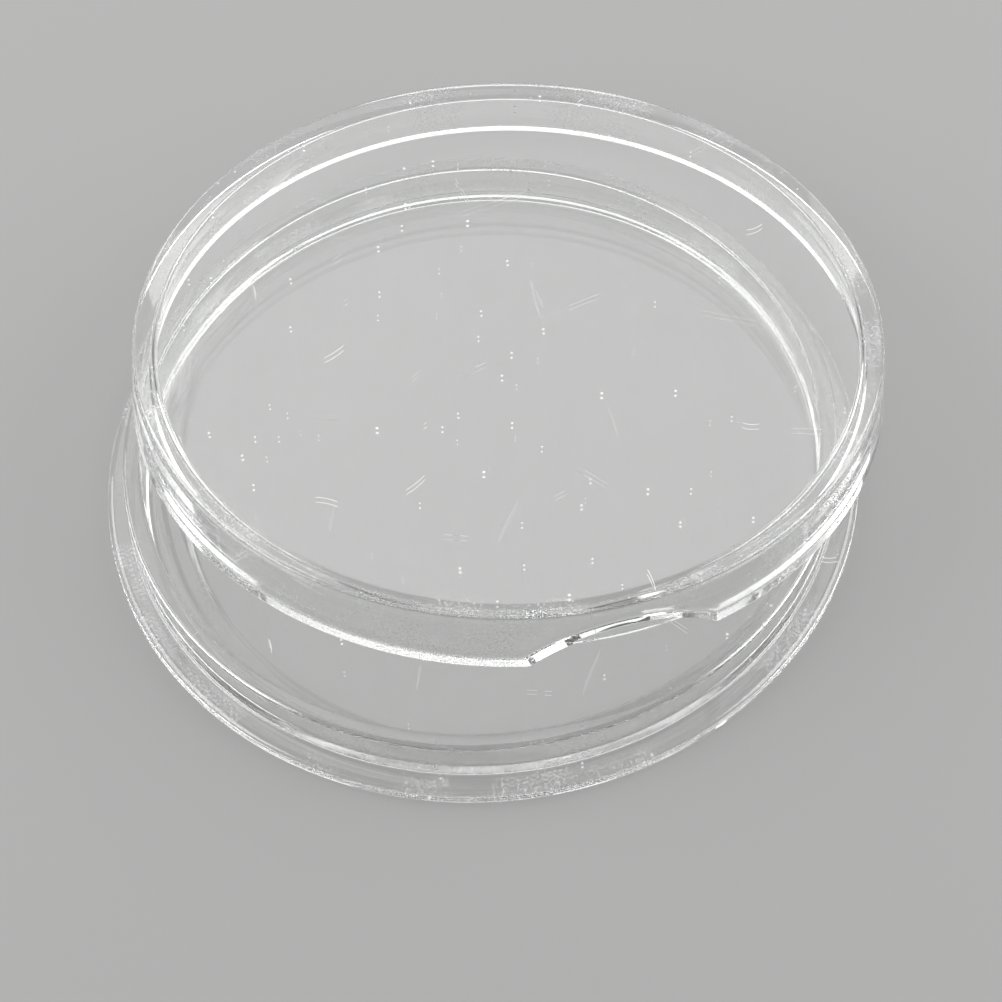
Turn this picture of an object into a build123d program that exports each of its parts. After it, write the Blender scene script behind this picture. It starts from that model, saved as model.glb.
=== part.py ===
"""Shallow round laboratory dish in clear polystyrene: an open dish and its loose lid.

The dish stands on the bench with its open side up.  The lid has been slid back
and rests askew: its far rim is on the bench and its rim crosses the dish's wall
on the left and on the right.

Units are millimetres and +Z is up.  The origin is the centre of the dish's
underside, on the bench.
"""
import os
from math import radians, sin

from build123d import *

# Driving dimensions of the dish.
outer_radius = 50.0
floor_thickness = 1.8
dish_height = 8.3
wall_thickness = 2.4
flange_width = 3.1

# Driving dimensions of the lid.
lid_height = 8.6
lid_plate = 1.8
lid_draft = 0.7
lid_rim_clearance = 0.3
lid_top_clearance = 0.1

# Notch scooped out of the lid's free rim, and the thin stub of plastic left in its middle,
# where the moulding was broken off its feed.
notch_width = 24.3
notch_depth = 4.7
notch_heading = -76.7
stub_height = 3.4
stub_thickness = 0.7

# Where the lid rests.  A heading is measured about +Z from +X.
lid_shift = 11.6
lid_heading = 66.8
lid_tilt = 8.07
bench_gap = 0.02

# Edge roundings.
flange_round = 1.2
edge_round = 0.6
foot_round = 0.4
corner_round = 1.0
rim_round = 0.35

# Derived sizes.
wall_outer_radius = outer_radius - flange_width
wall_inner_radius = wall_outer_radius - wall_thickness
lid_top_radius = outer_radius - lid_draft
lid_rim_inner_radius = wall_outer_radius + lid_rim_clearance
lid_top_inner_radius = wall_outer_radius + lid_top_clearance


def turned(outline, roundings):
    """Turn a closed (radius, height) outline about +Z, with its listed corners rounded."""
    profile = make_face(Polyline(*outline, close=True))
    for (radius, height), rounding in roundings.items():
        corner = profile.vertices().sort_by_distance((radius, height, 0))[0]
        profile = fillet(corner, rounding)
    return revolve(Plane.XZ * profile, Axis.Z)


def make_dish():
    """Floor with a full-width flange round it, and an upright wall set in from the edge."""
    outline = [
        (0, 0),
        (outer_radius, 0),
        (outer_radius, floor_thickness),
        (wall_outer_radius, floor_thickness),
        (wall_outer_radius, dish_height),
        (wall_inner_radius, dish_height),
        (wall_inner_radius, floor_thickness),
        (0, floor_thickness),
    ]
    roundings = {
        (outer_radius, 0): foot_round,
        (outer_radius, floor_thickness): flange_round,
        (wall_outer_radius, floor_thickness): edge_round,
        (wall_outer_radius, dish_height): edge_round,
        (wall_inner_radius, dish_height): edge_round,
        (wall_inner_radius, floor_thickness): corner_round,
    }
    return turned(outline, roundings)


def make_notch_cutter():
    """Round bar along a radius that scoops the free rim, less the stub it leaves standing."""
    bar_radius = (notch_width**2 / 4 + notch_depth**2) / (2 * notch_depth)
    bar_centre = Pos(outer_radius, 0, notch_depth - bar_radius)
    bar = Rot(0, 0, notch_heading) * bar_centre * Rot(0, 90, 0) * Cylinder(bar_radius, outer_radius / 4)
    stub_middle = (stub_height + notch_depth) / 2
    wall_radius = outer_radius - lid_draft * stub_middle / lid_height
    stub = Cylinder(outer_radius + 10, lid_height) - Cylinder(wall_radius - stub_thickness, lid_height)
    return bar - Pos(0, 0, stub_height + lid_height / 2) * stub


def make_lid():
    """Flat plate with a skirt, drawn closed side up, its free rim in the plane z = 0."""
    underside = lid_height - lid_plate
    outline = [
        (0, lid_height),
        (lid_top_radius, lid_height),
        (outer_radius, 0),
        (lid_rim_inner_radius, 0),
        (lid_top_inner_radius, underside),
        (0, underside),
    ]
    roundings = {
        (lid_top_radius, lid_height): edge_round,
        (outer_radius, 0): rim_round,
        (lid_rim_inner_radius, 0): rim_round,
        (lid_top_inner_radius, underside): corner_round,
    }
    return turned(outline, roundings) - make_notch_cutter()


def resting_place():
    """Lid's place at rest: tilted down towards its heading, that side of its rim on the bench."""
    away = Rot(0, 0, lid_heading)
    rim_height = outer_radius * sin(radians(lid_tilt)) + bench_gap
    return away * Pos(lid_shift, 0, rim_height) * Rot(0, lid_tilt, 0) * away.inverse()


def main():
    """Write one STEP file for each piece."""
    os.makedirs("parts", exist_ok=True)
    export_step(make_dish(), "parts/dish.step")
    export_step(resting_place() * make_lid(), "parts/lid.step")


main()
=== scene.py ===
from math import cos, degrees, pi, radians, sin, sqrt, tan

import bpy
import numpy as np
from mathutils import Matrix, Vector


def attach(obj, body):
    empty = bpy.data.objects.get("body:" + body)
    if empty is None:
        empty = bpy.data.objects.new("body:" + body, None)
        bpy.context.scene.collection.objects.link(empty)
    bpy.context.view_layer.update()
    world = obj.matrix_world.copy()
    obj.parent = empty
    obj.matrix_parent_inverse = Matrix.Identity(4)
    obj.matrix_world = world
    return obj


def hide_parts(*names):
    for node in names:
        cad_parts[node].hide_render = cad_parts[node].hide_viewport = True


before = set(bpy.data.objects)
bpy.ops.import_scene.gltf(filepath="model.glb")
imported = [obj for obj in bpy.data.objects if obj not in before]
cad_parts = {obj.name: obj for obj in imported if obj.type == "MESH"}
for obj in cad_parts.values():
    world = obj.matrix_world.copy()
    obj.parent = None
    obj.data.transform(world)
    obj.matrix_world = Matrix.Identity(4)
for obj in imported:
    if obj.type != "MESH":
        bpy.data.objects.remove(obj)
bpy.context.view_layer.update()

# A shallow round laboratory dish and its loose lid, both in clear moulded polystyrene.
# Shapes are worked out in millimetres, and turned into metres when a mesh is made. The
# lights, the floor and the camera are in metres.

MM = 0.001

# Driving dimensions of the dish.
OUTER = 50.0
DISH_FLOOR = 1.8
DISH_HEIGHT = 8.3
FLANGE_WIDTH = 3.1
WALL_THICKNESS = 2.4

# Driving dimensions of the lid, whose rim is as wide as the dish.
LID_HEIGHT = 8.6
LID_PLATE = 1.8
LID_DRAFT = 0.7
LID_RIM_CLEARANCE = 0.3
LID_TOP_CLEARANCE = 0.1

# Notch scooped out of the lid's free rim, and the thin stub of plastic left in its middle.
NOTCH_WIDTH = 24.3
NOTCH_DEPTH = 4.7
NOTCH_HEADING = -76.7
STUB_HEIGHT = 3.4
STUB_THICKNESS = 0.7

# Where the lid rests. Headings and tilt are in degrees, a heading about +Z from +X.
LID_SHIFT = 11.6
LID_HEADING = 66.8
LID_TILT = 8.07
BENCH_GAP = 0.02

# Edge roundings. The lid's outer rim has a small one, which leaves the stub a flat edge.
FLANGE_ROUND = 1.2
EDGE_ROUND = 0.6
FOOT_ROUND = 0.4
CORNER_ROUND = 1.0
RIM_ROUND = 0.35
OUTER_RIM_ROUND = 0.2

# Derived sizes.
WALL_OUT = OUTER - FLANGE_WIDTH
WALL_IN = WALL_OUT - WALL_THICKNESS
LID_TOP = OUTER - LID_DRAFT
LID_UNDERSIDE = LID_HEIGHT - LID_PLATE
LID_RIM_IN = WALL_OUT + LID_RIM_CLEARANCE
LID_CORNER_IN = WALL_OUT + LID_TOP_CLEARANCE

# Mesh fineness.
DISH_COLUMNS = 720
LID_COLUMNS = 880
ROUND_STEPS = 7
DISH_LONGEST_RUN = 1.6
LID_WALL_PIECES = 4
LID_RIM_PIECES = 2
CAP_SHRINK = 0.7
CAP_FEWEST_COLUMNS = 48


def rounded(corners):
    """Points and unit tangents, in the (radius, height) plane, round all but the first and
    last of some (radius, height, rounding) corners. Those two only give directions."""
    points, tangents = [], []
    for last, (radius, height, rounding), following in zip(corners, corners[1:], corners[2:]):
        here = np.array((radius, height))
        before = here - np.array(last[:2])
        after = np.array(following[:2]) - here
        before, after = before / np.linalg.norm(before), after / np.linalg.norm(after)
        turn = np.arctan2(before[0] * after[1] - before[1] * after[0], before @ after)
        start = here - before * rounding * tan(abs(turn) / 2)
        side = np.array((-before[1], before[0])) * np.sign(turn)
        centre = start + side * rounding
        for k in range(ROUND_STEPS + 1):
            a = turn * k / ROUND_STEPS
            spin = np.array(((cos(a), -sin(a)), (sin(a), cos(a))))
            points.append(centre + spin @ (start - centre))
            tangents.append(spin @ before)
    return np.array(points), np.array(tangents)


def split_runs(points, tangents, longest):
    """Divides each straight run longer than longest, so that its faces stay compact."""
    new_points, new_tangents = [points[0]], [tangents[0]]
    for start, end, end_tangent in zip(points, points[1:], tangents[1:]):
        length = np.linalg.norm(end - start)
        pieces = max(1, int(np.ceil(length / longest)))
        for k in range(1, pieces):
            new_points.append(start + (end - start) * k / pieces)
            new_tangents.append((end - start) / length)
        new_points.append(end)
        new_tangents.append(end_tangent)
    return np.array(new_points), np.array(new_tangents)


def cap(verts, faces, normals, ring, radius, height, up):
    """Closes a flat disc inside a ring of vertices, halving the number of columns as it
    nears the axis, so that no face is a sliver. It faces up when up is 1, down when -1."""
    angles = np.array([np.arctan2(verts[v][1], verts[v][0]) for v in ring])
    while len(ring) % 2 == 0 and len(ring) > CAP_FEWEST_COLUMNS:
        radius *= CAP_SHRINK
        angles = angles[::2]
        first = len(verts)
        verts += [(radius * cos(a), radius * sin(a), height) for a in angles]
        normals += [(0, 0, up)] * len(angles)
        inside = list(range(first, len(verts)))
        for k in range(len(inside)):
            a0, a1, a2 = ring[2 * k], ring[2 * k + 1], ring[(2 * k + 2) % len(ring)]
            b0, b1 = inside[k], inside[(k + 1) % len(inside)]
            for triangle in ((a0, a1, b0), (a1, a2, b1), (a1, b1, b0)):
                faces.append(triangle if up > 0 else triangle[::-1])
        ring = inside
    verts.append((0, 0, height))
    normals.append((0, 0, up))
    for k in range(len(ring)):
        triangle = (ring[k], ring[(k + 1) % len(ring)], len(verts) - 1)
        faces.append(triangle if up > 0 else triangle[::-1])


def turned_mesh(name, radii, heights, angles, tangent_r, tangent_z):
    """A closed turned solid from arrays with a row per column and a value per outline
    point. The outline runs from the underside outwards, up, and back over the top."""
    columns, count = radii.shape
    place = np.stack((radii * np.cos(angles), radii * np.sin(angles), heights), axis=2)
    along = np.stack((tangent_r * np.cos(angles), tangent_r * np.sin(angles), tangent_z), axis=2)
    sideways = np.roll(place, -1, axis=0) - np.roll(place, 1, axis=0)
    normal = np.cross(sideways, along)
    normal /= np.linalg.norm(normal, axis=2, keepdims=True)
    verts = [tuple(v) for v in place.reshape(-1, 3)]
    normals = [tuple(v) for v in normal.reshape(-1, 3)]
    faces = []
    for c in range(columns):
        d = (c + 1) % columns
        for p in range(count - 1):
            faces.append((c * count + p, d * count + p, d * count + p + 1, c * count + p + 1))
    for point, up in ((0, -1), (count - 1, 1)):
        ring = [c * count + point for c in range(columns)]
        cap(verts, faces, normals, ring, float(radii[0, point]), float(heights[0, point]), up)
    mesh = bpy.data.meshes.new(name)
    mesh.from_pydata([(x * MM, y * MM, z * MM) for x, y, z in verts], [], faces)
    mesh.update()
    mesh.shade_smooth()
    mesh.normals_split_custom_set_from_vertices(normals)
    return mesh


def make_dish():
    """Floor with a full-width flange round it, and an upright wall set in from the edge."""
    points, tangents = rounded([
        (0, 0, 0),
        (OUTER, 0, FOOT_ROUND),
        (OUTER, DISH_FLOOR, FLANGE_ROUND),
        (WALL_OUT, DISH_FLOOR, EDGE_ROUND),
        (WALL_OUT, DISH_HEIGHT, EDGE_ROUND),
        (WALL_IN, DISH_HEIGHT, EDGE_ROUND),
        (WALL_IN, DISH_FLOOR, CORNER_ROUND),
        (0, DISH_FLOOR, 0),
    ])
    points, tangents = split_runs(points, tangents, DISH_LONGEST_RUN)
    angles = np.linspace(0, 2 * pi, DISH_COLUMNS, endpoint=False)[:, None]
    ones = np.ones_like(angles)
    return turned_mesh(
        "dish_shell", ones * points[:, 0], ones * points[:, 1], angles * np.ones(len(points)),
        ones * tangents[:, 0], ones * tangents[:, 1],
    )


def notch_rise(across):
    """Height of the lid's free rim at a distance across the notch from its middle: an arc,
    blended softly into the level rim on each side."""
    half = NOTCH_WIDTH / 2
    radius = (half**2 + NOTCH_DEPTH**2) / (2 * NOTCH_DEPTH)
    rise = NOTCH_DEPTH - radius + sqrt(max(radius**2 - across**2, 0.0))
    softness = 0.10
    return (rise + sqrt(rise**2 + softness**2)) / 2


def lid_columns():
    """Column angles from the notch's middle, in radians: twice as close over the notch as
    elsewhere, and closest of all at its two ends."""
    end = degrees(np.arcsin(NOTCH_WIDTH / 2 / OUTER))
    margin = 3.0
    end_density, end_spread = 14, 0.55
    fine = np.linspace(-180, 180, 72001)
    density = 1.0 + (np.abs(fine) < end + margin)
    for side in (-end, end):
        density = density + end_density * np.exp(-(((fine - side) / end_spread) ** 2))
    total = np.concatenate(([0], np.cumsum((density[1:] + density[:-1]) / 2)))
    wanted = np.arange(LID_COLUMNS) / LID_COLUMNS * total[-1]
    return np.radians(np.interp(wanted, total, fine))


def stub_step(stub, rise, low):
    """Points and tangents of the step, at radius stub, from the notch's height, rise, down to
    the stub's edge, low. It leans a little, and its two corners are eased."""
    reach, lean = 0.12, 0.03
    ease = min(reach, (rise - low) / 3)
    points = np.array([
        (stub - reach, rise),
        (stub - lean, rise - ease),
        (stub + lean, low + ease / 2),
        (stub + reach - lean, low),
    ])
    down = (points[2] - points[1]) / np.linalg.norm(points[2] - points[1])
    return points, np.array([(1, 0), down, down, (1, 0)])


def lid_outline(rise):
    """Points, tangents and how far each follows the notch, from 0 to 1, for a column of the
    lid whose rim is cut back by rise. The outline starts under the plate, runs down the
    inner wall, round the rim with the stub's edge, and up the outer wall to the top."""
    low = min(rise, STUB_HEIGHT)
    outer_rim = OUTER - low * LID_DRAFT / LID_HEIGHT
    inner_rim = LID_RIM_IN - rise * (LID_RIM_IN - LID_CORNER_IN) / LID_UNDERSIDE
    stub = OUTER - rise * LID_DRAFT / LID_HEIGHT - STUB_THICKNESS
    inner_points, inner_tangents = rounded([
        (0, LID_UNDERSIDE, 0),
        (LID_CORNER_IN, LID_UNDERSIDE, CORNER_ROUND),
        (inner_rim, rise, RIM_ROUND),
        (stub, rise, 0),
    ])
    step_points, step_tangents = stub_step(stub, rise, low)
    outer_points, outer_tangents = rounded([
        (stub, low, 0),
        (outer_rim, low, OUTER_RIM_ROUND),
        (LID_TOP, LID_HEIGHT, EDGE_ROUND),
        (0, LID_HEIGHT, 0),
    ])
    points = np.concatenate((inner_points, step_points, outer_points))
    tangents = np.concatenate((inner_tangents, step_tangents, outer_tangents))

    # The last points of three roundings: under the plate, at the inner and the outer rim.
    corner_end = ROUND_STEPS
    inner_rim_end = len(inner_points) - 1
    outer_rim_end = len(inner_points) + len(step_points) + ROUND_STEPS
    follows = np.zeros(len(points))
    follows[corner_end + 1:outer_rim_end + 1] = 1.0

    # Long straight runs are divided, and the sideways shift fades out along the two walls.
    divided = {
        corner_end: LID_WALL_PIECES, inner_rim_end: LID_RIM_PIECES, outer_rim_end: LID_WALL_PIECES,
    }
    rows = []
    for i in range(len(points)):
        rows.append((points[i], tangents[i], follows[i]))
        pieces = divided.get(i, 1)
        for k in range(1, pieces):
            run = points[i + 1] - points[i]
            share = follows[i] + (follows[i + 1] - follows[i]) * k / pieces
            rows.append((points[i] + run * k / pieces, run / np.linalg.norm(run), share))
    return tuple(np.array(column) for column in zip(*rows))


def make_lid():
    """Flat plate with a skirt, closed side up, its free rim at height 0 but for the notch."""
    # Angles from the notch's middle, in radians.
    notch_side = 1.0
    parallel_until, parallel_fade = 0.61, 0.3
    all_points, all_tangents, all_turns = [], [], []
    for a in lid_columns():
        rise = notch_rise(OUTER * sin(a)) if abs(a) < notch_side else 0.0
        points, tangents, follows = lid_outline(rise)
        # The notch is cut straight through the wall, so inside it the columns run parallel.
        ease = min(max((parallel_until - abs(a)) / parallel_fade, 0.0), 1.0)
        ease = ease * ease * (3 - 2 * ease)
        parallel = np.arcsin(np.clip(OUTER * sin(a) / points[:, 0], -1, 1)) - a
        all_points.append(points)
        all_tangents.append(tangents)
        all_turns.append(a + parallel * follows * ease)
    all_points, all_tangents = np.array(all_points), np.array(all_tangents)
    return turned_mesh(
        "lid_shell", all_points[:, :, 0], all_points[:, :, 1],
        np.array(all_turns) + radians(NOTCH_HEADING),
        all_tangents[:, :, 0], all_tangents[:, :, 1],
    )


def lid_place():
    """Where the lid rests: tilted down towards its heading, that side of its rim on the bench."""
    turn = Matrix.Rotation(radians(LID_HEADING), 4, "Z")
    lift = OUTER * sin(radians(LID_TILT)) + BENCH_GAP
    shift = Matrix.Translation(Vector((LID_SHIFT, 0, lift)) * MM)
    return turn @ shift @ Matrix.Rotation(radians(LID_TILT), 4, "Y") @ turn.inverted()


class Shader:
    """A short way to write a material's nodes."""

    def __init__(self, name):
        self.material = bpy.data.materials.new(name)
        self.material.use_nodes = True
        self.tree = self.material.node_tree
        self.tree.nodes.clear()

    def add(self, kind, inputs=None, **settings):
        node = self.tree.nodes.new("ShaderNode" + kind)
        for key, value in settings.items():
            setattr(node, key, value)
        for key, value in (inputs or {}).items():
            if isinstance(value, bpy.types.NodeSocket):
                self.tree.links.new(value, node.inputs[key])
            else:
                node.inputs[key].default_value = value
        return node

    def math(self, operation, a, b=0.0, clamp=False):
        return self.add("Math", {0: a, 1: b}, operation=operation, use_clamp=clamp).outputs[0]

    def noise(self, vector, scale, detail, roughness=0.5):
        inputs = {"Vector": vector, "Scale": scale, "Detail": detail, "Roughness": roughness}
        return self.add("TexNoise", inputs).outputs[0]

    def cells(self, vector, scale):
        """Flat cells, each with its own place and colour."""
        inputs = {"Vector": vector, "Scale": scale, "Randomness": 1.0}
        return self.add("TexVoronoi", inputs, voronoi_dimensions="2D").outputs

    def ramp(self, value, low, high, to_low=0.0, to_high=1.0):
        inputs = {
            "Value": value, "From Min": low, "From Max": high, "To Min": to_low, "To Max": to_high,
        }
        return self.add("MapRange", inputs, clamp=True, interpolation_type="SMOOTHSTEP").outputs[0]


def local_mm(s, place):
    """The surface point in millimetres in a piece's own upright frame."""
    back = place.inverted()
    mapping = s.add("Mapping", {
        "Vector": s.add("TexCoord").outputs["Object"],
        "Location": back.translation / MM,
        "Rotation": back.to_euler(),
        "Scale": (1 / MM,) * 3,
    })
    return mapping.outputs[0]


def flat_sheet(s, point, seed):
    """A flat map of the surface in millimetres, and the radius. Marks lie on it in the
    plates' own plane, and round the walls as if these were unrolled. The normal is turned
    towards the ray, so what is met from above and from below lies apart on the map, but
    the two faces of a plate share their marks when both are seen from one side."""
    level_from, apart, slant = 0.72, 137.0, 0.7
    parts = s.add("SeparateXYZ", {0: point}).outputs
    facing = s.add("SeparateXYZ", {0: s.add("TexCoord").outputs["Normal"]}).outputs[2]
    angle = s.math("ARCTAN2", parts[1], parts[0])
    unrolled = s.add("CombineXYZ", {0: s.math("MULTIPLY", angle, WALL_OUT), 1: parts[2]})
    level = s.add("CombineXYZ", {0: parts[0], 1: parts[1]})
    is_level = s.math("GREATER_THAN", s.math("ABSOLUTE", facing), level_from)
    sheet = s.add("Mix", {0: is_level, 4: unrolled.outputs[0], 5: level.outputs[0]},
                  data_type="VECTOR").outputs[1]
    side = s.math("MULTIPLY", s.math("GREATER_THAN", facing, 0.0), apart)
    shift = s.add("CombineXYZ", {0: s.math("ADD", side, seed), 1: s.math("MULTIPLY", side, slant)})
    sheet = s.add("VectorMath", {0: sheet, 1: shift.outputs[0]}, operation="ADD").outputs[0]
    radius = s.add("VectorMath", {0: level.outputs[0]}, operation="LENGTH").outputs["Value"]
    return sheet, radius


def dust(s, sheet, radius):
    """Small round specks, one at most in each cell, and more of them towards the rim. The
    specks' radii are in shares of a cell."""
    cells_per_mm, smallest, largest = 0.24, 0.013, 0.050
    share_empty, fewer_empty_at_rim = 0.62, 0.30
    rim_from, rim_fully = 40.0, 48.5
    cells = s.cells(sheet, cells_per_mm)
    pick = s.add("SeparateColor", {0: cells["Color"]}).outputs
    near_rim = s.ramp(radius, rim_from, rim_fully)
    speck = s.ramp(s.math("POWER", pick[1], 4.0), 0.0, 1.0, smallest, largest)
    needed = s.math("SUBTRACT", share_empty, s.math("MULTIPLY", near_rim, fewer_empty_at_rim))
    return s.math("MULTIPLY", s.math("LESS_THAN", cells["Distance"], speck),
                  s.math("GREATER_THAN", pick[0], needed))


def streaks(s, sheet, cell, half_length, half_width, bend, share_empty):
    """Thin lines, one at most in each cell of so many millimetres, each turned its own way
    and with its own length. The shorter ones are bent more."""
    shortest, most_bent, least_bent = 0.15, 2.2, 0.2
    nests = s.cells(sheet, 1 / cell)
    pick = s.add("SeparateColor", {0: nests["Color"]}).outputs
    offset = s.add("VectorMath", {0: sheet, 1: nests["Position"]}, operation="SUBTRACT").outputs[0]
    turned = s.add("VectorRotate", {"Vector": offset, "Angle": s.math("MULTIPLY", pick[1], 2 * pi)},
                   rotation_type="Z_AXIS").outputs[0]
    axes = s.add("SeparateXYZ", {0: turned}).outputs
    share = s.math("DIVIDE", s.math("ABSOLUTE", axes[0]), half_length)
    bow = s.math("MULTIPLY", axes[0], s.math("MULTIPLY", axes[0], bend))
    bow = s.math("MULTIPLY", bow, s.ramp(pick[2], 0.0, 1.0, most_bent, least_bent))
    off_line = s.math("ABSOLUTE", s.math("SUBTRACT", axes[1], bow))
    within_width = s.math("LESS_THAN", off_line, half_width)
    within_length = s.math("LESS_THAN", share, s.math("ADD", pick[2], shortest))
    inside = s.math("MULTIPLY", within_width, within_length)
    return s.math("MULTIPLY", inside, s.math("GREATER_THAN", pick[0], share_empty))


def scuffs_and_sheen(s, sheet, radius):
    """Grainy white patches on the flange and skirt: partly rubbing wear, partly a painted sheen that
    stands in for the smudgy highlight over the flange.
    """
    grains_per_mm, patches_per_mm = 2.6, 0.10
    patches_from, patches_fully = 45.5, 47.5
    grain = s.ramp(s.noise(sheet, grains_per_mm, 3.0, 0.7), 0.50, 0.66)
    patchy = s.ramp(s.noise(sheet, patches_per_mm, 2.0), 0.48, 0.60)
    wear_and_sheen = s.ramp(radius, patches_from, patches_fully)
    return s.math("MULTIPLY", s.math("MULTIPLY", grain, patchy), wear_and_sheen)


def see_through(s):
    """What shadow rays and diffusely bounced rays meet: clear, and greyer where edge-on."""
    edge = s.add("LayerWeight", {"Blend": 0.25})
    grey = s.ramp(edge.outputs["Facing"], 0.15, 1.0, 0.96, 0.55)
    shade = s.add("CombineColor", {0: grey, 1: grey, 2: grey})
    return s.add("BsdfTransparent", {"Color": shade.outputs[0]})


def clear_plastic(name, place, seed):
    """Clear polystyrene with a little dirt and wear on it, and white patches of painted sheen
    towards the rim.
    """
    refractive_index, clearest = 1.59, 0.995
    haze_per_mm, waves_per_mm = 0.06, 0.045
    wave_mm, scratch_mm = 0.06, -0.004
    plain_roughness, haze_roughness, wear_and_sheen_roughness, dirt_roughness = 0.015, 0.05, 0.25, 0.7
    dirt_cover, scratch_cover, scuff_and_sheen_cover = 0.90, 0.40, 0.50
    s = Shader(name)
    point = local_mm(s, place)
    sheet, radius = flat_sheet(s, point, seed)

    # Fibres are short and curved, and hairline scratches longer, thinner and nearly straight.
    fibres = streaks(
        s, sheet, cell=19.0, half_length=1.5, half_width=0.05, bend=0.22, share_empty=0.66)
    long_scratches = streaks(
        s, sheet, cell=27.0, half_length=5.0, half_width=0.032, bend=0.004, share_empty=0.50)
    short_scratches = streaks(
        s, sheet, cell=15.0, half_length=2.2, half_width=0.028, bend=0.012, share_empty=0.55)
    scratches = s.math("MAXIMUM", long_scratches, short_scratches)
    dirt = s.math("MAXIMUM", dust(s, sheet, radius), fibres)
    # White patches on the flange and skirt, partly rubbing wear and partly painted sheen.
    scuff_and_sheen = scuffs_and_sheen(s, sheet, radius)

    # Handling haze, and the slow waviness of a moulded sheet.
    haze = s.ramp(s.noise(sheet, haze_per_mm, 4.0, 0.6), 0.45, 0.80)
    wave = s.noise(point, waves_per_mm, 1.0)
    height = s.math("ADD", s.math("MULTIPLY", wave, wave_mm),
                    s.math("MULTIPLY", scratches, scratch_mm))
    bump = s.add("Bump", {"Height": height, "Distance": MM, "Strength": 1.0})

    rough = s.math("ADD", s.math("MULTIPLY", haze, haze_roughness), plain_roughness)
    wear_and_sheen = s.math("MULTIPLY", s.math("MAXIMUM", scratches, scuff_and_sheen), wear_and_sheen_roughness)
    rough = s.math("MAXIMUM", s.math("ADD", rough, wear_and_sheen), s.math("MULTIPLY", dirt, dirt_roughness))
    # Dirt, scratches and the white patches of wear and painted sheen hide the clear plastic under
    # white.
    cover = s.math("MAXIMUM", s.math("MULTIPLY", dirt, dirt_cover),
                   s.math("MULTIPLY", scratches, scratch_cover))
    cover = s.math("MAXIMUM", cover, s.math("MULTIPLY", scuff_and_sheen, scuff_and_sheen_cover))
    plastic = s.add("BsdfPrincipled", {
        "Base Color": (0.975, 0.98, 0.975, 1),
        "IOR": refractive_index,
        "Transmission Weight": s.math("SUBTRACT", clearest, cover, clamp=True),
        "Roughness": rough,
        "Normal": bump.outputs[0],
    })
    rays = s.add("LightPath").outputs
    lets_through = s.math("MAXIMUM", rays["Is Shadow Ray"], rays["Is Diffuse Ray"])
    both = s.add("MixShader", {0: lets_through, 1: plastic.outputs[0], 2: see_through(s).outputs[0]})
    s.add("OutputMaterial", {"Surface": both.outputs[0]})
    return s.material


def make_floor():
    """A plain pale floor, a hair below the dish's underside and see-through from below."""
    half, drop = 6.0, 0.00005
    mesh = bpy.data.meshes.new("floor")
    corners = [(-half, -half, 0), (half, -half, 0), (half, half, 0), (-half, half, 0)]
    mesh.from_pydata(corners, [], [(0, 1, 2, 3)])
    floor = bpy.data.objects.new("floor", mesh)
    floor.location.z = -drop
    bpy.context.scene.collection.objects.link(floor)
    s = Shader("floor")
    paper = s.add("BsdfPrincipled", {"Base Color": (0.42, 0.42, 0.417, 1), "Roughness": 0.9})
    below = s.add("NewGeometry").outputs["Backfacing"]
    clear = s.add("BsdfTransparent")
    mixed = s.add("MixShader", {0: below, 1: paper.outputs[0], 2: clear.outputs[0]})
    s.add("OutputMaterial", {"Surface": mixed.outputs[0]})
    mesh.materials.append(s.material)


def add_softbox(name, azimuth, elevation, distance, width, height, radiance):
    """An area light that faces the object. Azimuth 0 is +Y, behind the object, and 90 is +X."""
    light = bpy.data.lights.new(name, "AREA")
    light.shape = "RECTANGLE"
    light.size = width
    light.size_y = height
    light.energy = radiance * pi * width * height
    box = bpy.data.objects.new(name, light)
    a, e = radians(azimuth), radians(elevation)
    way = Vector((sin(a) * cos(e), cos(a) * cos(e), sin(e)))
    box.location = way * distance
    box.rotation_mode = "QUATERNION"
    box.rotation_quaternion = way.to_track_quat("Z", "Y")
    bpy.context.scene.collection.objects.link(box)


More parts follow.
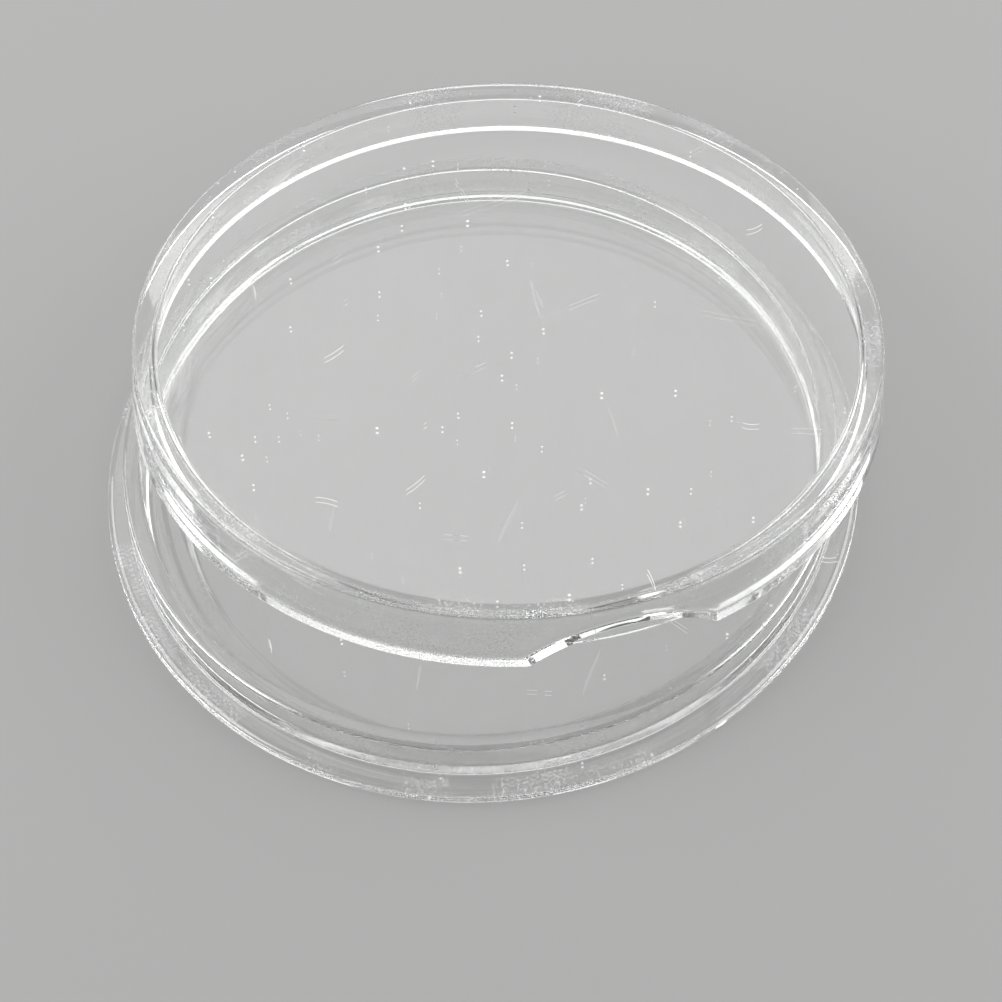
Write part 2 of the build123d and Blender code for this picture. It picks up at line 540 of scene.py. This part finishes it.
def add_lights():
    """Two boxes behind, one high and one low, that the rims and walls mirror, and a box at
    each side, in a dim grey room."""
    add_softbox("overhead", 0, 45, distance=1.0, width=0.9, height=0.9, radiance=1.3)
    add_softbox("behind", 0, 13, distance=1.1, width=1.9, height=0.36, radiance=0.9)
    for name, azimuth in (("left", -85), ("right", 85)):
        add_softbox(name, azimuth, 32, distance=0.9, width=1.1, height=0.46, radiance=4.6)
    world = bpy.data.worlds.new("studio")
    world.use_nodes = True
    world.node_tree.nodes["Background"].inputs[0].default_value = (0.09, 0.09, 0.092, 1)
    bpy.context.scene.world = world


def add_camera():
    """Looks along +Y and down at the dish, with a slight roll. A shift aside and above, in
    the picture's own plane, puts the dish where it should be in the picture."""
    elevation, roll = radians(56.07), radians(-4.82)
    distance, aside, above = 0.40039, 0.00254, -0.00395
    ahead = Vector((0, cos(elevation), -sin(elevation)))
    right = Vector((1, 0, 0))
    up = right.cross(ahead)
    rolled_right = cos(roll) * right + sin(roll) * up
    rolled_up = -sin(roll) * right + cos(roll) * up
    data = bpy.data.cameras.new("camera")
    data.sensor_width = 36
    data.lens = 107.8
    data.clip_start = 0.01
    camera = bpy.data.objects.new("camera", data)
    turn = Matrix((rolled_right, rolled_up, -ahead)).transposed()
    camera.matrix_world = Matrix.Translation(
        -ahead * distance + rolled_right * aside + rolled_up * above
    ) @ turn.to_4x4()
    bpy.context.scene.collection.objects.link(camera)
    bpy.context.scene.camera = camera


def set_light_paths():
    """Light is let bounce often, since it has to find its way out of nested clear walls."""
    scene = bpy.context.scene
    scene.view_settings.view_transform = "Standard"
    scene.cycles.max_bounces = 160
    scene.cycles.transmission_bounces = 160
    scene.cycles.glossy_bounces = 160
    scene.cycles.transparent_max_bounces = 48
    scene.cycles.caustics_refractive = False
    scene.cycles.caustics_reflective = False


def add_piece(name, mesh, body, node, material):
    """Shows a mesh that moves with a body and stands in for a CAD node."""
    piece = bpy.data.objects.new(name, mesh)
    mesh.materials.append(material)
    bpy.context.scene.collection.objects.link(piece)
    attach(piece, body)
    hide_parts(node)


add_camera()
make_floor()
add_lights()
set_light_paths()

dish_seed, lid_seed = 3.0, 17.0
add_piece("dish_shell", make_dish(), "dish", "dish",
          clear_plastic("dish_polystyrene", Matrix.Identity(4), dish_seed))
lid_mesh = make_lid()
lid_mesh.transform(lid_place())
add_piece("lid_shell", lid_mesh, "lid", "lid",
          clear_plastic("lid_polystyrene", lid_place(), lid_seed))
